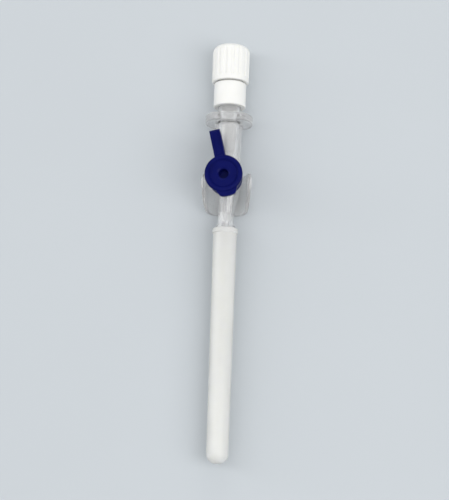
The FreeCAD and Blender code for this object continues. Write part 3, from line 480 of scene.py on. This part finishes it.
def filter_membrane(settings):
    """Filter disc: white porous membrane, with painted shade that darkens its pores."""
    tree, shader, material = new_material("porous_membrane")
    pores = tree.add("ShaderNodeTexVoronoi", None, Vector=tree.place(),
                     Scale=1 / settings.grain).outputs["Distance"]
    # Painted shade: the colour darkens towards each pore's centre, where the bump also sinks
    # the skin
    pore_shade_and_depth = two_tones(tree, shader, pores, (0.0, 0.5), MEMBRANE_PORE_SHADE, MEMBRANE_WEB)
    tree.feed(shader.inputs["Normal"], tree.bump(pore_shade_and_depth, 0.02 * MM, strength=0.8))
    set_sockets(shader, Roughness=0.9)
    return material


def floor_paint(colour):
    """Plain pale floor, a little uneven in tone."""
    tree, shader, material = new_material("plain_floor")
    cloud = tree.add("ShaderNodeTexNoise", None, Vector=tree.place(), Scale=18.0,
                     Detail=3.0).outputs["Fac"]
    two_tones(tree, shader, cloud, (0.3, 0.7), colour, scaled(colour, 0.985))
    set_sockets(shader, Roughness=0.85, Specular_IOR_Level=0.2)
    return material


def dress(material, *nodes):
    """Put one material on carried-over nodes."""
    for node in nodes:
        slots = NODES[node].data.materials
        slots.clear()
        slots.append(material)


# Operators, one for each piece or group of like pieces and one for the stage

class CANNULA_OT_stage(bpy.types.Operator):
    """Make the floor, the soft lamps and the camera"""
    bl_idname = "cannula.stage"
    bl_label = "Stage"

    def execute(self, context):
        settings = context.scene.cannula_stage
        make_floor(settings)
        make_lamps(settings)
        make_surround(settings)
        make_camera(context.scene, settings)
        context.scene.view_settings.view_transform = "Standard"
        return {"FINISHED"}


def make_floor(settings):
    """A plain floor, level with what the cannula rests on."""
    mesh = bpy.data.meshes.new("floor")
    corners = [(x * FLOOR_HALF, y * FLOOR_HALF, 0)
               for x, y in ((-1, -1), (1, -1), (1, 1), (-1, 1))]
    mesh.from_pydata(corners, [], [(0, 1, 2, 3)])
    floor = bpy.data.objects.new("floor", mesh)
    floor.data.materials.append(floor_paint(settings.floor_colour))
    bpy.context.scene.collection.objects.link(floor)


def make_lamps(settings):
    """Large soft lamps above and to the sides, all turned to the cannula's middle."""
    for name, place, size, watts in LAMPS:
        data = bpy.data.lights.new(name, "AREA")
        data.shape = "RECTANGLE"
        data.size, data.size_y = size
        data.energy = watts * settings.light
        lamp = bpy.data.objects.new(name, data)
        lamp.location = place
        lamp.rotation_euler = (MIDDLE - Vector(place)).to_track_quat("-Z", "Y").to_euler()
        bpy.context.scene.collection.objects.link(lamp)


def make_surround(settings):
    """An even pale surround that looks brighter through clear plastic than it lights."""
    world = bpy.data.worlds.new("soft_surround")
    world.use_nodes = True
    tree = Tree(world.node_tree)
    background = world.node_tree.nodes["Background"]
    path = tree.add("ShaderNodeLightPath").outputs
    seen = tree.maths("MULTIPLY_ADD", path["Is Camera Ray"], CAMERA_SHARE,
                      path["Is Transmission Ray"])
    strength = tree.ramp(seen, 0.0, 1.0, SURROUND_LIGHT * settings.light, SURROUND_THROUGH)
    tree.feed(background.inputs["Strength"], strength)
    background.inputs["Color"].default_value = SURROUND_COLOUR
    bpy.context.scene.world = world


def make_camera(scene, settings):
    """A camera that looks steeply down on the cannula, as the photograph does."""
    level = Vector((-math.sin(settings.lean), math.cos(settings.lean), 0))
    across = Vector((level.y, -level.x, 0))
    down = Vector((0, 0, -math.sin(settings.elevation)))
    steep = level * math.cos(settings.elevation) + down
    forward = (steep - across * math.tan(settings.aside)).normalized()
    right = forward.cross(level).normalized()
    up = right.cross(forward)
    data = bpy.data.cameras.new("camera")
    data.sensor_fit = "VERTICAL"
    data.sensor_height = SENSOR_HEIGHT
    data.lens = settings.lens
    data.clip_start = 0.01
    data.clip_end = 20.0
    camera = bpy.data.objects.new("camera", data)
    turned = Matrix((right, up, -forward)).transposed().to_4x4()
    camera.matrix_world = Matrix.Translation(MIDDLE - forward * settings.distance) @ turned
    scene.collection.objects.link(camera)
    scene.camera = camera


class CANNULA_OT_needle_cover(bpy.types.Operator):
    """Finish the milky needle cover"""
    bl_idname = "cannula.needle_cover"
    bl_label = "Needle cover"

    def execute(self, context):
        dress(milky_plastic(context.scene.cannula_plastics), "needle_cover")
        return {"FINISHED"}


class CANNULA_OT_clear_pieces(bpy.types.Operator):
    """Finish the clear hub and the clear needle hub"""
    bl_idname = "cannula.clear_pieces"
    bl_label = "Clear pieces"

    def execute(self, context):
        dress(clear_plastic(context.scene.cannula_plastics), "catheter_hub", "needle_hub")
        return {"FINISHED"}


class CANNULA_OT_white_pieces(bpy.types.Operator):
    """Finish the white plug and the white vent fitting with its filter"""
    bl_idname = "cannula.white_pieces"
    bl_label = "White pieces"

    def execute(self, context):
        settings = context.scene.cannula_plastics
        dress(white_plastic(settings), "luer_plug", "vent_fitting")
        dress(filter_membrane(settings), "filter_disc")
        return {"FINISHED"}


class CANNULA_OT_plug_thread(bpy.types.Operator):
    """Wind the two-start luer thread along the inside of the plug's skirt"""
    bl_idname = "cannula.plug_thread"
    bl_label = "Plug thread"

    def execute(self, context):
        sizes = context.scene.cannula_thread
        before_lugs = TURNS_BEFORE_LUGS * sizes.lead
        piece = grown_mesh("plug_thread", ridge_tree(), {
            "Radius": sizes.wall, "Lead": sizes.lead, "Turns": sizes.turns,
            "Depth": sizes.depth, "Width": sizes.width, "Starts": sizes.starts,
            "Start": NECK_REAR - sizes.lug - LUG_CLEARANCE - before_lugs,
            "Phase": -TURNS_BEFORE_LUGS * FULL_TURN, "Height": AXIS_HEIGHT,
            "Material": bpy.data.materials["white_plastic"]})
        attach(piece, "plug")
        return {"FINISHED"}


class CANNULA_OT_port_cap(bpy.types.Operator):
    """Finish the blue port cap and its ring"""
    bl_idname = "cannula.port_cap"
    bl_label = "Port cap"

    def execute(self, context):
        dress(blue_plastic(context.scene.cannula_plastics), "port_cap", "port_cap_ring")
        return {"FINISHED"}


class CANNULA_OT_inner_pieces(bpy.types.Operator):
    """Finish the catheter, its ferrule, the needle and the valve"""
    bl_idname = "cannula.inner_pieces"
    bl_label = "Inner pieces"

    def execute(self, context):
        settings = context.scene.cannula_plastics
        dress(drawn_steel(settings), "catheter_wedge", "needle")
        dress(catheter_plastic(settings), "catheter_tube")
        dress(soft_silicone(settings), "port_valve")
        return {"FINISHED"}


STEPS = (
    CANNULA_OT_stage, CANNULA_OT_needle_cover, CANNULA_OT_clear_pieces,
    CANNULA_OT_white_pieces, CANNULA_OT_plug_thread, CANNULA_OT_port_cap,
    CANNULA_OT_inner_pieces)

SETTINGS = {
    "cannula_stage": StageSettings,
    "cannula_plastics": PlasticSettings,
    "cannula_thread": ThreadSettings,
}


class CANNULA_PT_pieces(bpy.types.Panel):
    """Lists the settings and the operators"""
    bl_label = "Cannula"
    bl_idname = "CANNULA_PT_pieces"
    bl_space_type = "VIEW_3D"
    bl_region_type = "UI"
    bl_category = "Cannula"

    def draw(self, context):
        for name, kind in SETTINGS.items():
            column = self.layout.box().column()
            for setting in kind.__annotations__:
                column.prop(getattr(context.scene, name), setting)
        for step in STEPS:
            self.layout.operator(step.bl_idname)


CLASSES = (*SETTINGS.values(), *STEPS, CANNULA_PT_pieces)


def register():
    for cls in CLASSES:
        bpy.utils.register_class(cls)
    for name, kind in SETTINGS.items():
        setattr(bpy.types.Scene, name, bpy.props.PointerProperty(type=kind))


def unregister():
    for name in SETTINGS:
        delattr(bpy.types.Scene, name)
    for cls in reversed(CLASSES):
        bpy.utils.unregister_class(cls)


def main():
    register()
    moulded_skin_group()
    round_the_axis_group()
    parting_line_group()
    for step in STEPS:
        area, name = step.bl_idname.split(".")
        getattr(getattr(bpy.ops, area), name)()


if __name__ == "__main__":
    main()
